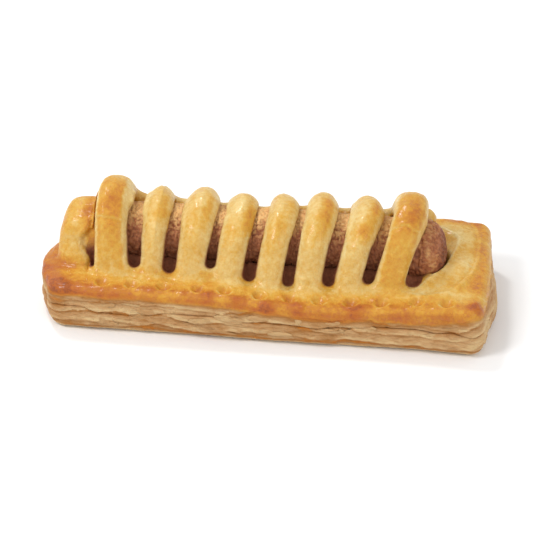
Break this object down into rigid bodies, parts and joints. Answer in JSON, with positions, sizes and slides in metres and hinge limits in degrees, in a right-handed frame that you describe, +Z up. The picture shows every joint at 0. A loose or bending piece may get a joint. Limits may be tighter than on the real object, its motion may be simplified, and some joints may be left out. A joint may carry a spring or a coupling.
{
  "type": "frikandel roll",
  "caption": "Baked puff-pastry snack roll with a sealed rim round a minced-meat sausage; the top sheet is slit into arched strips that let the meat show.",
  "frame": {"origin": "under the middle of the roll's box, on the table it rests on", "axes": "+Z up, +X along the roll towards the end where the sausage shows, -Y towards the front seam"},
  "size_m": [0.1722, 0.068, 0.0457],
  "materials": {
    "crust": "golden baked puff pastry, egg-washed and glossy on top, pale and flaky on its cut sides",
    "meat": "brown fried minced-meat surface, finely grainy"
  },
  "bodies": {
    "root": {"pastry": "crust", "frikandel": "meat"}
  },
  "joints": []
}
